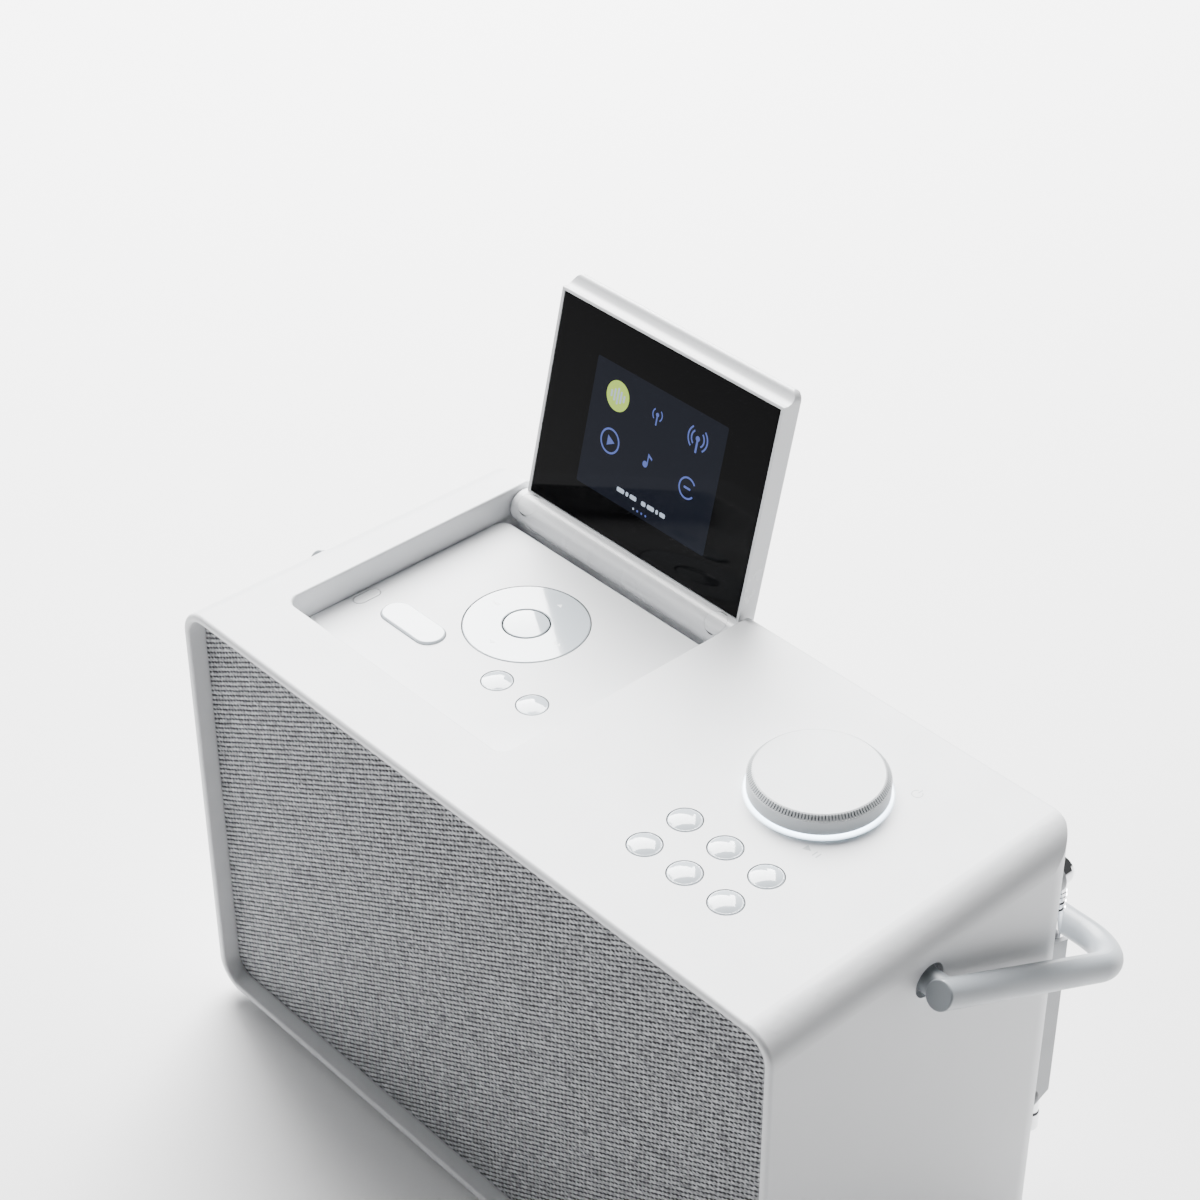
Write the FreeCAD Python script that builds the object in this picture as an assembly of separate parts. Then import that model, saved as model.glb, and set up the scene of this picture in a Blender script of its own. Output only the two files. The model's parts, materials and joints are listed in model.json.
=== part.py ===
import FreeCAD, Part
import math
import os

V = FreeCAD.Vector
os.makedirs("parts", exist_ok=True)

# ---------------------------------------------------------------- driving dimensions (mm)
# Design axes: X from the cabinet's middle, Y from the front rim rearwards, Z up from the table.
W = 275.0            # cabinet width at the front rim
W_REAR = 271.0       # width at the rear: mould draft on both sides
FOOT = 3.0           # rubber feet under the cabinet
H = 168.0            # cabinet height without the feet
D = 133.5            # cabinet depth
R_EDGE = 11.0        # long edges, front to rear
R_PLAN = 13.0        # rear corners, seen from above
WALL = 3.0
RECESS = 6.0         # grille set back behind the rim
ZB = FOOT
ZT = FOOT + H

WELL_X0, WELL_X1 = -115.4, -6.6   # pocket the display folds into
WELL_Y0 = 27.0
WELL_R = 4.5
WELL_DEPTH = 10.7
TROUGH_Y0 = 121.0                 # deeper trough for the hinge barrel
TROUGH_DEPTH = 15.6

AXIS_Y, AXIS_Z = 129.3, ZT - 7.7  # display hinge
BARREL_R = 6.3
LID_X0, LID_X1 = -112.8, -8.0
LID_T = 8.5
LID_TOP = 83.2                    # from the hinge axis, up the lid
LEAN = 13.1                       # open display leans back, degrees
GLASS_X0, GLASS_X1 = -111.4, -9.2
GLASS_U0, GLASS_U1 = 6.9, 81.9
LCD_X0, LCD_X1 = -90.8, -28.4
LCD_U0, LCD_U1 = 20.5, 67.2

PRESET_X = (53.6, 70.7, 87.8)
PRESET_Y = (30.8, 47.3)
PRESET_R = 5.4
DIAL_X, DIAL_Y = 70.8, 86.3
DIAL_R = 22.0
DIAL_H = 6.7
NOTCHES = 132
NAV_X, NAV_Y = -63.4, 86.2
NAV_R, NAV_RI = 21.4, 8.2
SMALL = ((-46.4, 58.9), (-29.2, 58.9))
SMALL_R = 5.3
PILL = (-88.7, 58.4)
PILL_L, PILL_W = 27.4, 11.2
LATCH = (-111.4, 56.8)
LATCH_L = 10.4

HANDLE_Y, HANDLE_Z = 65.5, ZT - 18.5
HANDLE_R = 4.75
ARM_X = 144.0
ARM_L = 99.0
ARM_DROP = 26.3                   # arms hang this far below level at rest, degrees
BEND_R = 19.0

MAST_X, MAST_Y = 125.5, 137.3
PIN_Z = ZT - 26.0

OFF = V(0, -79.50, 0)              # design axes to part axes: middle of the whole outline


def put(name, shape):
    solids = []
    for q in shape.Solids:
        q = q.copy()
        if q.Volume < 0:
            q.reverse()
        if not q.isValid():
            print("not valid:", name)
        solids.append(q)
    s = solids[0] if len(solids) == 1 else Part.makeCompound(solids)
    s.translate(OFF)
    s.exportStep("parts/%s.step" % name)


# ---------------------------------------------------------------- helpers
def box(x0, x1, y0, y1, z0, z1):
    return Part.makeBox(x1 - x0, y1 - y0, z1 - z0, V(x0, y0, z0))


def cylz(r, x, y, z0, z1):
    return Part.makeCylinder(r, z1 - z0, V(x, y, z0), V(0, 0, 1))


def cyly(r, x, z, y0, y1):
    return Part.makeCylinder(r, y1 - y0, V(x, y0, z), V(0, 1, 0))


def cylx(r, y, z, x0, x1):
    return Part.makeCylinder(r, x1 - x0, V(x0, y, z), V(1, 0, 0))


def fuse(shapes):
    s = shapes[0]
    if len(shapes) > 1:
        s = s.fuse(shapes[1:])
    return s.removeSplitter()


def group(shapes):
    return Part.makeCompound(shapes)


def rr(x0, x1, z0, z1, r, at, plane="xz"):
    """Rounded rectangle wire; plane xz at y=at, or xy at z=at."""
    c = r - r * math.cos(math.pi / 4)

    def p(a, b):
        return V(a, at, b) if plane == "xz" else V(a, b, at)
    e = [Part.LineSegment(p(x0 + r, z0), p(x1 - r, z0)),
         Part.Arc(p(x1 - r, z0), p(x1 - c, z0 + c), p(x1, z0 + r)),
         Part.LineSegment(p(x1, z0 + r), p(x1, z1 - r)),
         Part.Arc(p(x1, z1 - r), p(x1 - c, z1 - c), p(x1 - r, z1)),
         Part.LineSegment(p(x1 - r, z1), p(x0 + r, z1)),
         Part.Arc(p(x0 + r, z1), p(x0 + c, z1 - c), p(x0, z1 - r)),
         Part.LineSegment(p(x0, z1 - r), p(x0, z0 + r)),
         Part.Arc(p(x0, z0 + r), p(x0 + c, z0 + c), p(x0 + r, z0))]
    return Part.Wire([s.toShape() for s in e])


def slab_y(x0, x1, z0, z1, r, y0, y1):
    return Part.Face(rr(x0, x1, z0, z1, r, y0)).extrude(V(0, y1 - y0, 0))


def slab_z(x0, x1, y0, y1, r, z0, z1):
    return Part.Face(rr(x0, x1, y0, y1, r, z0, "xy")).extrude(V(0, 0, z1 - z0))


def revolve(pts, axis_pt, axis_dir, arcs=()):
    """Closed profile of (radius, height) points about a vertical axis through axis_pt."""
    vs = [V(axis_pt.x + r, axis_pt.y, h) for r, h in pts]
    edges = []
    i = 0
    n = len(vs)
    while i < n:
        if i in arcs:                       # arc through the next point
            edges.append(Part.Arc(vs[i], vs[(i + 1) % n], vs[(i + 2) % n]).toShape())
            i += 2
        else:
            edges.append(Part.LineSegment(vs[i], vs[(i + 1) % n]).toShape())
            i += 1
    f = Part.Face(Part.Wire(edges))
    return f.revolve(axis_pt, axis_dir, 360)


def fillet(shape, r, pick, tries=(1.0, 0.7, 0.45)):
    """Round the edges that pick accepts; smaller radii if the kernel refuses."""
    edges = [e for e in shape.Edges if pick(e)]
    if not edges:
        print("no edges picked")
        return shape
    for k in tries:
        try:
            s = shape.makeFillet(r * k, edges)
            if s.isValid() and s.Volume > 0:
                if k < 1:
                    print("fillet at", k)
                return s
        except Exception:
            pass
    print("fillet refused", r, len(edges))
    return shape


def on_plane(e, axis, value, tol=0.02):
    b = e.BoundBox
    lo, hi = {"x": (b.XMin, b.XMax), "y": (b.YMin, b.YMax), "z": (b.ZMin, b.ZMax)}[axis]
    return abs(lo - value) < tol and abs(hi - value) < tol


def inside(e, x0, x1, y0, y1, z0, z1):
    b = e.BoundBox
    return (b.XMin > x0 and b.XMax < x1 and b.YMin > y0 and b.YMax < y1
            and b.ZMin > z0 and b.ZMax < z1)


def half_at(y, inset=0.0):
    """Half-width of the cabinet at depth y."""
    return W / 2 - inset + (W_REAR - W) / 2 * y / D


# ---------------------------------------------------------------- cabinet shell
SLOPE = (W - W_REAR) / 2 / D
NRM = math.sqrt(1 + SLOPE * SLOPE)
CY = D - R_PLAN                            # plan corner centres, tangent to the drafted sides
CX = half_at(CY) - R_PLAN * NRM
CT = CY + R_PLAN * SLOPE / NRM             # where the corner begins on the side


def plan_corners(shape, r):
    for s in (1, -1):
        tool = box(CX, 200, CT, 200, -50, 300).cut(cylz(r, CX, CY, -60, 310))
        if s < 0:
            tool = tool.mirror(V(0, 0, 0), V(1, 0, 0))
        shape = shape.cut(tool)
    return shape


outer = Part.makeLoft([rr(-W / 2, W / 2, ZB, ZT, R_EDGE, 0),
                       rr(-W_REAR / 2, W_REAR / 2, ZB, ZT, R_EDGE, D)], True, True)
outer = plan_corners(outer, R_PLAN)
R_REAR = 1.4                               # soft rear edge, top and bottom, run round the corners
for z0, z1, zc in ((ZT - R_REAR, ZT + 2, ZT - R_REAR), (ZB - 2, ZB + R_REAR, ZB + R_REAR)):
    straight = box(-CX, CX, D - R_REAR, D + 2, z0, z1).cut(cylx(R_REAR, D - R_REAR, zc, -CX - 1, CX + 1))
    corner = cylz(R_PLAN + 4, CX, CY, z0, z1).cut(cylz(R_PLAN - R_REAR, CX, CY, z0 - 1, z1 + 1))
    corner = corner.cut(Part.makeTorus(R_PLAN - R_REAR, R_REAR, V(CX, CY, zc), V(0, 0, 1)))
    corner = corner.common(box(CX, CX + 40, CY, CY + 40, z0 - 1, z1 + 1))
    outer = outer.cut(straight).cut(corner).cut(corner.mirror(V(0, 0, 0), V(1, 0, 0)))
outer = fillet(outer, 1.3, lambda e: on_plane(e, "y", 0))
ca_, cb_ = half_at(-5) - WALL, half_at(D - 9) - WALL
cav = Part.makeLoft([rr(-ca_, ca_, ZB + WALL, ZT - WALL, R_EDGE - WALL, -5),
                     rr(-cb_, cb_, ZB + WALL, ZT - WALL, R_EDGE - WALL, D - 9)], True, True)
cav = plan_corners(cav, R_PLAN - WALL)
shell = outer.cut(cav)
shell = fillet(shell, 0.9, lambda e: on_plane(e, "y", 0))

# pocket block, hinge trough and the rim behind the trough
shell = shell.fuse([box(WELL_X0 - 2.2, WELL_X1 + 2.2, WELL_Y0 - 2.2, D - 8.5, ZT - TROUGH_DEPTH - 2.2, ZT - 2),
                    ])
shell = shell.cut(box(WELL_X0, WELL_X1, WELL_Y0 + 0.01, 200, ZT - WELL_DEPTH - 2.3, ZT + 5)
                  .common(slab_z(WELL_X0, WELL_X1, WELL_Y0, 260, WELL_R, ZT - 40, ZT + 6)))
shell = shell.cut(slab_z(WELL_X0 + 4, WELL_X1 - 4, WELL_Y0 + 4, TROUGH_Y0 - 5, 2, ZT - 30, ZT))
shell = shell.cut(box(WELL_X0, WELL_X1, TROUGH_Y0, 200, ZT - TROUGH_DEPTH, ZT + 5))
shell = shell.cut(box(-96, -70, TROUGH_Y0 + 1.2, TROUGH_Y0 + 2.4, ZT - 40, ZT - 10))   # ribbon slot
shell = fillet(shell, 0.8, lambda e: on_plane(e, "z", ZT, 0.03) and
               inside(e, WELL_X0 - 1, WELL_X1 + 1, WELL_Y0 - 1, 125, 0, 300))

shell = shell.cut(box(LATCH[0] - 2.7, WELL_X0 + 4.5, LATCH[1] - LATCH_L / 2 - 0.6, LATCH[1] + LATCH_L / 2 + 0.6, ZT - WELL_DEPTH - 5.4,
                      ZT - WELL_DEPTH - 1))        # room for the latch key

# rear opening with a rebate that the rear cover sits in
RB = 110.0
shell = shell.cut(slab_y(-RB, RB, ZB + 6, ZT - 24, 6, D - 3.5, D + 1))
shell = shell.cut(slab_y(-RB + 10, RB - 10, ZB + 16, ZT - 34, 5, D - 12, D + 1))

# holes in the top for the presets, the dial and its light ring
for px in PRESET_X:
    for py in PRESET_Y:
        shell = shell.cut(cylz(PRESET_R + 0.3, px, py, ZT - 8, ZT + 5))
shell = shell.cut(cylz(DIAL_R + 1.1, DIAL_X, DIAL_Y, ZT - 1.6, ZT + 5))
shell = shell.cut(cylz(9.0, DIAL_X, DIAL_Y, ZT - 8, ZT + 5))

# posts that carry the preset board
shell = shell.fuse([cylz(2.5, x, y, ZT - 11.6, ZT - 2) for x in (44, 100) for y in (23.5, 108.5)])

# handle pivots through the sides, with an inner boss for the bush
for s in (1, -1):
    hx = half_at(HANDLE_Y)
    boss = cylx(9.5, HANDLE_Y, HANDLE_Z, hx - 11, hx - 2) if s > 0 else \
        cylx(9.5, HANDLE_Y, HANDLE_Z, -hx + 2, -hx + 11)
    shell = shell.fuse(boss)
    bush_hole = cylx(6.8, HANDLE_Y, HANDLE_Z, hx - 20, hx - 2.2) if s > 0 else \
        cylx(6.8, HANDLE_Y, HANDLE_Z, -hx + 2.2, -hx + 20)
    face_hole = cylx(5.9, HANDLE_Y, HANDLE_Z, hx - 6, hx + 5) if s > 0 else \
        cylx(5.9, HANDLE_Y, HANDLE_Z, -hx - 5, -hx + 6)
    shell = shell.cut(bush_hole).cut(face_hole)

# seat for the aerial boss, screw holes for the rear cover, posts for the baffle
shell = shell.cut(cyly(5.6, MAST_X, PIN_Z, D - 7.0, D + 3))
REAR_SCREWS = [(-105, 14), (105, 14), (-105, 142), (105, 142), (-105, 78), (105, 78), (0, 14), (0, 142)]
for sx, sz in REAR_SCREWS:
    shell = shell.cut(cyly(1.5, sx, sz, D - 11, D + 1))
for sx, sz in ((-1, -1), (-1, 1), (1, -1), (1, 1)):
    bx = sx * 124.0
    bz = (ZB + ZT) / 2 + sz * 70.5
    post = cyly(5.0, bx, bz, 19.5, 40).fuse(box(min(bx, sx * 136), max(bx, sx * 136), 24, 40,
                                                bz - 1.5, bz + 1.5))
    post = post.common(outer)
    shell = shell.fuse(post).cut(cyly(1.5, bx, bz, 18, 36))
shell = shell.removeSplitter()
put("cabinet_shell", shell)

# ---------------------------------------------------------------- grille, baffle, speakers
gi = 3.35
put("grille_fabric", slab_y(-W / 2 + gi, W / 2 - gi, ZB + gi, ZT - gi, R_EDGE - gi, RECESS, RECESS + 0.9))
frame = slab_y(-W / 2 + gi, W / 2 - gi, ZB + gi, ZT - gi, R_EDGE - gi, RECESS + 0.9, RECESS + 3.9)
for k in (-1, 1):
    frame = frame.cut(slab_y(min(k * 4, k * 124), max(k * 4, k * 124), ZB + 14, ZT - 14, 8,
                             RECESS, RECESS + 5))
put("grille_frame", frame)
BY0, BY1 = RECESS + 3.9, RECESS + 8.4
baffle = slab_y(-W / 2 + gi, W / 2 - gi, ZB + gi, ZT - gi, R_EDGE - gi, BY0, BY1)
# ring flange behind that locates the board in the shell
baffle = baffle.fuse(slab_y(-W / 2 + 5.5, W / 2 - 5.5, ZB + 5.5, ZT - 5.5, 6, BY1, BY1 + 5).cut(
    slab_y(-W / 2 + 8.5, W / 2 - 8.5, ZB + 8.5, ZT - 8.5, 4, BY1 - 1, BY1 + 6)))
SPK_Z = ZB + H / 2 - 4
SPK_X = 66.0
for s in (-1, 1):
    baffle = baffle.cut(cyly(38.0, s * SPK_X, SPK_Z, 0, 40))
    for k in range(4):
        a = math.pi / 4 + k * math.pi / 2
        baffle = baffle.cut(cyly(1.4, s * SPK_X + 44 * math.cos(a), SPK_Z + 44 * math.sin(a), 0, 40))
baffle = baffle.cut(slab_y(-12, 12, SPK_Z - 40, SPK_Z + 40, 10, 0, 40).common(
    slab_y(-9, 9, SPK_Z - 36, SPK_Z + 36, 8, 0, 40)))
for sx, sz in ((-1, -1), (-1, 1), (1, -1), (1, 1)):
    baffle = baffle.cut(cyly(1.7, sx * 124.0, (ZB + ZT) / 2 + sz * 70.5, 0, 60))
    baffle = baffle.cut(cyly(6.0, sx * 124.0, (ZB + ZT) / 2 + sz * 70.5, BY1 + 0.2, 60))
put("speaker_baffle", baffle)

screws = []
for s in (-1, 1):
    for k in range(4):
        a = math.pi / 4 + k * math.pi / 2
        x, z = s * SPK_X + 44 * math.cos(a), SPK_Z + 44 * math.sin(a)
        screws.append(cyly(1.4, x, z, BY0 + 1.0, BY1 + 2.2).fuse(cyly(2.8, x, z, BY1 + 2.2, BY1 + 4.0)))
for sx, sz in ((-1, -1), (-1, 1), (1, -1), (1, 1)):
    x, z = sx * 124.0, (ZB + ZT) / 2 + sz * 70.5
    screws.append(cyly(1.5, x, z, BY1, BY1 + 18))
put("baffle_screws", group(screws))

for s, side in ((-1, "left"), (1, "right")):
    ax = V(s * SPK_X, 0, SPK_Z)
    # pressed basket with flange, cone seat, and magnet on its back
    flange = slab_y(ax.x - 47, ax.x + 47, SPK_Z - 47, SPK_Z + 47, 28, BY1, BY1 + 2.2).common(
        cyly(49.0, ax.x, SPK_Z, BY1, BY1 + 2.2))
    tub = cyly(37.6, ax.x, SPK_Z, BY1, BY1 + 12)
    cone_back = Part.makeCone(37.6, 18.0, 14, V(ax.x, BY1 + 12, SPK_Z), V(0, 1, 0))
    motor = cyly(27.0, ax.x, SPK_Z, BY1 + 26, BY1 + 40)
    basket = flange.fuse([tub, cone_back, motor])
    basket = basket.cut(cyly(35.8, ax.x, SPK_Z, BY1 - 1, BY1 + 12))
    basket = basket.cut(Part.makeCone(35.8, 15.5, 13.0, V(ax.x, BY1 + 12, SPK_Z), V(0, 1, 0)))
    for k in range(4):
        a = math.pi / 4 + k * math.pi / 2
        basket = basket.cut(cyly(1.4, ax.x + 44 * math.cos(a), SPK_Z + 44 * math.sin(a), 0, 60))
    for k in range(4):
        a = k * 90
        w = box(ax.x + 20, ax.x + 45, BY1 + 6, BY1 + 22, SPK_Z - 9, SPK_Z + 9)
        w.rotate(V(ax.x, 0, SPK_Z), V(0, 1, 0), a)
        basket = basket.cut(w)
    put("speaker_basket_" + side, basket.removeSplitter())
    # paper cone with half-roll surround and dust cap, one moving assembly
    prof = [(0, 9.0), (8.0, 11.5), (10.5, 16.0), (27.5, 5.0), (31.5, 1.2), (35.6, 3.0),
            (35.6, 4.0), (31.5, 2.6), (28.0, 6.6), (11.5, 17.2), (9.0, 17.2), (7.2, 12.6), (0, 10.2)]
    vs = [V(ax.x + r, BY1 + y, SPK_Z) for r, y in prof]
    wire = Part.makePolygon(vs + [vs[0]])
    cone = Part.Face(wire).revolve(V(ax.x, 0, SPK_Z), V(0, 1, 0), 360)
    put("speaker_cone_" + side, cone)

# ---------------------------------------------------------------- rear cover and fittings
CRX = RB - 0.3
cover = slab_y(-CRX, CRX, ZB + 6.3, ZT - 24.3, 5.7, D - 3.5, D - 0.5)
for sx, sz in REAR_SCREWS:
    cover = cover.cut(cyly(1.7, sx, sz, 100, 160)).cut(cyly(3.1, sx, sz, D - 2.0, 160))
# a row of vents
for k in range(9):
    cover = cover.cut(slab_y(30 + k * 7.0, 32.4 + k * 7.0, 96, 128, 1.1, D - 10, D + 5))
# connector bay
cover = cover.cut(slab_y(36, 88, 26, 46, 4, D - 2.0, D + 5))
cover = cover.cut(cyly(5.2, 50, 36, D - 10, D + 5)).cut(cyly(4.2, 72, 36, D - 10, D + 5))
put("rear_cover", cover.removeSplitter())
put("rear_cover_screws", group([
    cyly(1.5, sx, sz, D - 10.5, D - 2.0).fuse(cyly(2.9, sx, sz, D - 2.0, D - 0.7)
                                             .cut(box(sx - 2.2, sx + 2.2, D - 1.3, D, sz - 0.4, sz + 0.4))
                                             .cut(box(sx - 0.4, sx + 0.4, D - 1.3, D, sz - 2.2, sz + 2.2)))
    for sx, sz in REAR_SCREWS]))
FOOT_X, FOOT_Y0, FOOT_Y1 = 112.0, 18.0, 108.0
feet = []
for sx in (-1, 1):
    for fy in (FOOT_Y0, FOOT_Y1):
        f = cylz(9.0, sx * FOOT_X, fy, 0, ZB)
        f = f.makeFillet(0.8, [e for e in f.Edges if on_plane(e, "z", 0)])
        feet.append(f)
put("feet", group(feet))

# electronics inside
PCB_Y = D - 18.0
board = box(-92, 96, PCB_Y - 1.6, PCB_Y, 24, 132)
for mx, mz in ((-88, 28), (92, 28), (-88, 128), (92, 128)):
    board = board.cut(cyly(1.6, mx, mz, 0, 200))
put("main_board", board)
put("battery_pack", slab_y(-58, -2, 34, 94, 6, PCB_Y - 26.6, PCB_Y - 1.6))
jack = box(44, 56, PCB_Y, D - 3.6, 29, 43).fuse(cyly(4.9, 50, 36, D - 3.6, D - 2.0))
jack = jack.cut(cyly(2.8, 50, 36, D - 12, D + 1)).fuse(cyly(0.9, 50, 36, D - 12.2, D - 3.0))
put("dc_inlet", jack.removeSplitter())
jack = box(67, 77, PCB_Y, D - 3.6, 31, 41).fuse(cyly(3.9, 72, 36, D - 3.6, D - 2.0))
jack = jack.cut(cyly(1.8, 72, 36, D - 16, D + 1))
put("headphone_jack", jack.removeSplitter())

# ---------------------------------------------------------------- pocket panel and its keys
ZF = ZT - WELL_DEPTH                      # pocket floor
panel = slab_z(WELL_X0 + 0.25, WELL_X1 - 0.25, WELL_Y0 + 0.25, TROUGH_Y0 - 0.3, WELL_R - 0.25, ZF - 2.2, ZF)
panel = panel.cut(cylz(NAV_R + 0.35, NAV_X, NAV_Y, ZF - 5, ZF + 2))
for x, y in SMALL:
    panel = panel.cut(cylz(SMALL_R + 0.25, x, y, ZF - 5, ZF + 2))
PX, PY = PILL
panel = panel.cut(slab_z(PX - PILL_L / 2 - 0.25, PX + PILL_L / 2 + 0.25, PY - PILL_W / 2 - 0.25,
                         PY + PILL_W / 2 + 0.25, PILL_W / 2 + 0.2, ZF - 5, ZF + 2))
LX, LY = LATCH
panel = panel.cut(slab_z(LX - 2.45, LX + 2.45, LY - LATCH_L / 2 - 0.25, LY + LATCH_L / 2 + 0.25, 2.4, ZF - 5, ZF + 2))
panel = panel.fuse([cylz(2.0, x, y, ZF - 9.2, ZF - 1.0) for x in (WELL_X0 + 10, WELL_X1 - 10)
                    for y in (WELL_Y0 + 9, TROUGH_Y0 - 11)])
# two ears with pin holes that carry the rocker's gimbal
for s in (-1, 1):
    ear = box(NAV_X + s * 23.2 - 1.3, NAV_X + s * 23.2 + 1.3, NAV_Y - 2.2, NAV_Y + 2.2, ZF - 5.7, ZF - 1.0)
    panel = panel.fuse(ear).cut(cylx(0.75, NAV_Y, ZF - 4.2, NAV_X + s * 23.2 - 2, NAV_X + s * 23.2 + 2))
panel = fillet(panel, 0.4, lambda e: on_plane(e, "z", ZF) and not inside(
    e, WELL_X0 + 1, WELL_X1 - 1, WELL_Y0 + 1, TROUGH_Y0 - 1, 0, 300))
put("control_panel", panel)

ZK = ZF - 2.2                             # underside of the panel
KB = ZF - 9.2                             # top of the key board
keyb = slab_z(WELL_X0 + 3.0, WELL_X1 - 3.0, WELL_Y0 + 4.5, TROUGH_Y0 - 5.5, 2, KB - 1.6, KB)
put("key_board", keyb)


def tact(x, y, z, h=3.6):
    """Small square key switch with its round plunger."""
    return box(x - 2.6, x + 2.6, y - 2.6, y + 2.6, z, z + h - 1.0).fuse(cylz(1.4, x, y, z + h - 1.0, z + h))


keys = [tact(x, y, KB) for x, y in SMALL] + [tact(PX, PY, KB), tact(LX + 3.4, LY, KB)]
keys += [tact(NAV_X, NAV_Y, KB, 2.8)]
for a in range(4):
    keys.append(tact(NAV_X + 13.7 * math.cos(a * math.pi / 2), NAV_Y + 13.7 * math.sin(a * math.pi / 2), KB, 3.2))
put("key_switches", group(keys))


def round_button(x, y, r, ztop, dome, zlow, skirt=1.1, stem=1.3, stem_to=None):
    """Domed key cap with a retaining skirt under the panel and a stem to its switch."""
    zc = ztop
    a0 = r - 0.5
    big = (a0 * a0 + dome * dome) / (2 * dome)
    half = math.asin(a0 / big) / 2
    pts = [(0, zlow), (r + skirt, zlow), (r + skirt, zlow + 0.9), (r, zlow + 0.9), (r, zc - 0.5),
           (r - 0.15, zc - 0.14), (a0, zc), (big * math.sin(half), zc + dome - big * (1 - math.cos(half))),
           (0, zc + dome)]
    vs = [V(x + a, y, b) for a, b in pts]
    edges = [Part.LineSegment(vs[i], vs[i + 1]).toShape() for i in range(4)]
    edges.append(Part.Arc(vs[4], vs[5], vs[6]).toShape())
    edges.append(Part.Arc(vs[6], vs[7], vs[8]).toShape())
    edges.append(Part.LineSegment(vs[8], vs[0]).toShape())
    s = Part.Face(Part.Wire(edges)).revolve(V(x, y, 0), V(0, 0, 1), 360)
    if stem_to is not None:
        s = s.fuse(cylz(stem, x, y, stem_to, zlow + 0.2))
    return s.removeSplitter()


KEY_GAP = 0.75                            # free travel between stem and switch
for (x, y), n in zip(SMALL, ("left", "right")):
    put("round_button_" + n, round_button(x, y, SMALL_R, ZF + 0.05, 0.75, ZK - 1.15,
                                          stem_to=KB + 3.6 + KEY_GAP))


def pill_solid(cx, cy, lx, ly, ztop, dome, zlow, skirt):
    r = min(lx, ly) / 2 - 0.02
    body = slab_z(cx - lx / 2, cx + lx / 2, cy - ly / 2, cy + ly / 2, r, zlow, ztop + dome)
    body = fillet(body, dome * 0.95, lambda e: on_plane(e, "z", ztop + dome), (1.0, 0.8, 0.5))
    sk = slab_z(cx - lx / 2 - skirt, cx + lx / 2 + skirt, cy - ly / 2 - skirt, cy + ly / 2 + skirt,
                r, zlow, zlow + 0.9)
    return body.fuse(sk)


pill = pill_solid(PX, PY, PILL_L, PILL_W, ZF + 0.05, 0.8, ZK - 1.15, 1.1)
pill = pill.fuse(cylz(1.4, PX, PY, KB + 3.6 + KEY_GAP, ZK - 1.0))
put("pill_button", pill.removeSplitter())
lat = slab_z(LX - 2.2, LX + 2.2, LY - LATCH_L / 2, LY + LATCH_L / 2, 2.15, ZK - 1.15, ZF + 0.1)
lat = fillet(lat, 0.3, lambda e: on_plane(e, "z", ZF + 0.1))
lat = lat.fuse(box(LX + 0.6, LX + 4.4, LY - LATCH_L / 2 + 1, LY + LATCH_L / 2 - 1, ZK - 1.15, ZK - 0.25))
lat = lat.fuse(cylz(1.0, LX + 3.4, LY, KB + 3.6 + KEY_GAP, ZK - 1.0))
put("latch_button", lat.removeSplitter())

# navigation rocker: hidden gimbal ring, flat ring on it, and the middle key
PIV_Z = ZK - 2.0
gim = cylz(18.5, NAV_X, NAV_Y, PIV_Z - 0.8, PIV_Z + 0.8).cut(cylz(15.6, NAV_X, NAV_Y, PIV_Z - 2, PIV_Z + 2))
gim = gim.fuse([cylx(0.7, NAV_Y, PIV_Z, NAV_X + 17.5, NAV_X + 24.2), cylx(0.7, NAV_Y, PIV_Z, NAV_X - 24.2, NAV_X - 17.5),
                cyly(0.7, NAV_X, PIV_Z, NAV_Y + 12.4, NAV_Y + 16.5), cyly(0.7, NAV_X, PIV_Z, NAV_Y - 16.5, NAV_Y - 12.4)])
put("nav_gimbal", gim)
ring = [(NAV_RI, ZK + 0.3), (NAV_R - 1.4, ZK + 0.3), (NAV_R - 1.4, ZK + 0.9), (NAV_R - 0.05, ZK + 0.9),
        (NAV_R, ZF - 0.25), (NAV_R - 0.35, ZF + 0.1), (NAV_RI + 0.3, ZF + 0.1), (NAV_RI, ZF - 0.2)]
vs = [V(NAV_X + a, NAV_Y, b) for a, b in ring]
navr = Part.Face(Part.makePolygon(vs + [vs[0]])).revolve(V(NAV_X, NAV_Y, 0), V(0, 0, 1), 360)
lugs = [box(NAV_X - 1.8, NAV_X + 1.8, NAV_Y + s * 13.6 - 1.2, NAV_Y + s * 13.6 + 1.2, PIV_Z - 1.1, ZK + 0.5)
        .cut(cyly(0.75, NAV_X, PIV_Z, NAV_Y - 20, NAV_Y + 20)) for s in (-1, 1)]
lugs += [box(NAV_X + s * 13.8 - 0.9, NAV_X + s * 13.8 + 0.9, NAV_Y - 1.5, NAV_Y + 1.5, PIV_Z - 1.1, ZK + 0.5)
         for s in (-1, 1)]
navr = navr.fuse(lugs).removeSplitter()
put("nav_ring", navr)
na = NAV_RI - 0.7
nbig = (na * na + 0.16) / 0.8
nhalf = math.asin(na / nbig) / 2
nb = [(0, ZK - 3.4), (9.4, ZK - 3.4), (9.4, ZK - 2.6), (NAV_RI - 0.45, ZK - 2.6), (NAV_RI - 0.45, ZF - 0.2),
      (na, ZF + 0.1), (nbig * math.sin(nhalf), ZF + 0.5 - nbig * (1 - math.cos(nhalf))), (0, ZF + 0.5)]
vs = [V(NAV_X + a, NAV_Y, b) for a, b in nb]
edges = [Part.LineSegment(vs[i], vs[i + 1]).toShape() for i in range(5)]
edges.append(Part.Arc(vs[5], vs[6], vs[7]).toShape())
edges.append(Part.LineSegment(vs[7], vs[0]).toShape())
okb = Part.Face(Part.Wire(edges)).revolve(V(NAV_X, NAV_Y, 0), V(0, 0, 1), 360)
put("nav_button", okb)

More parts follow.
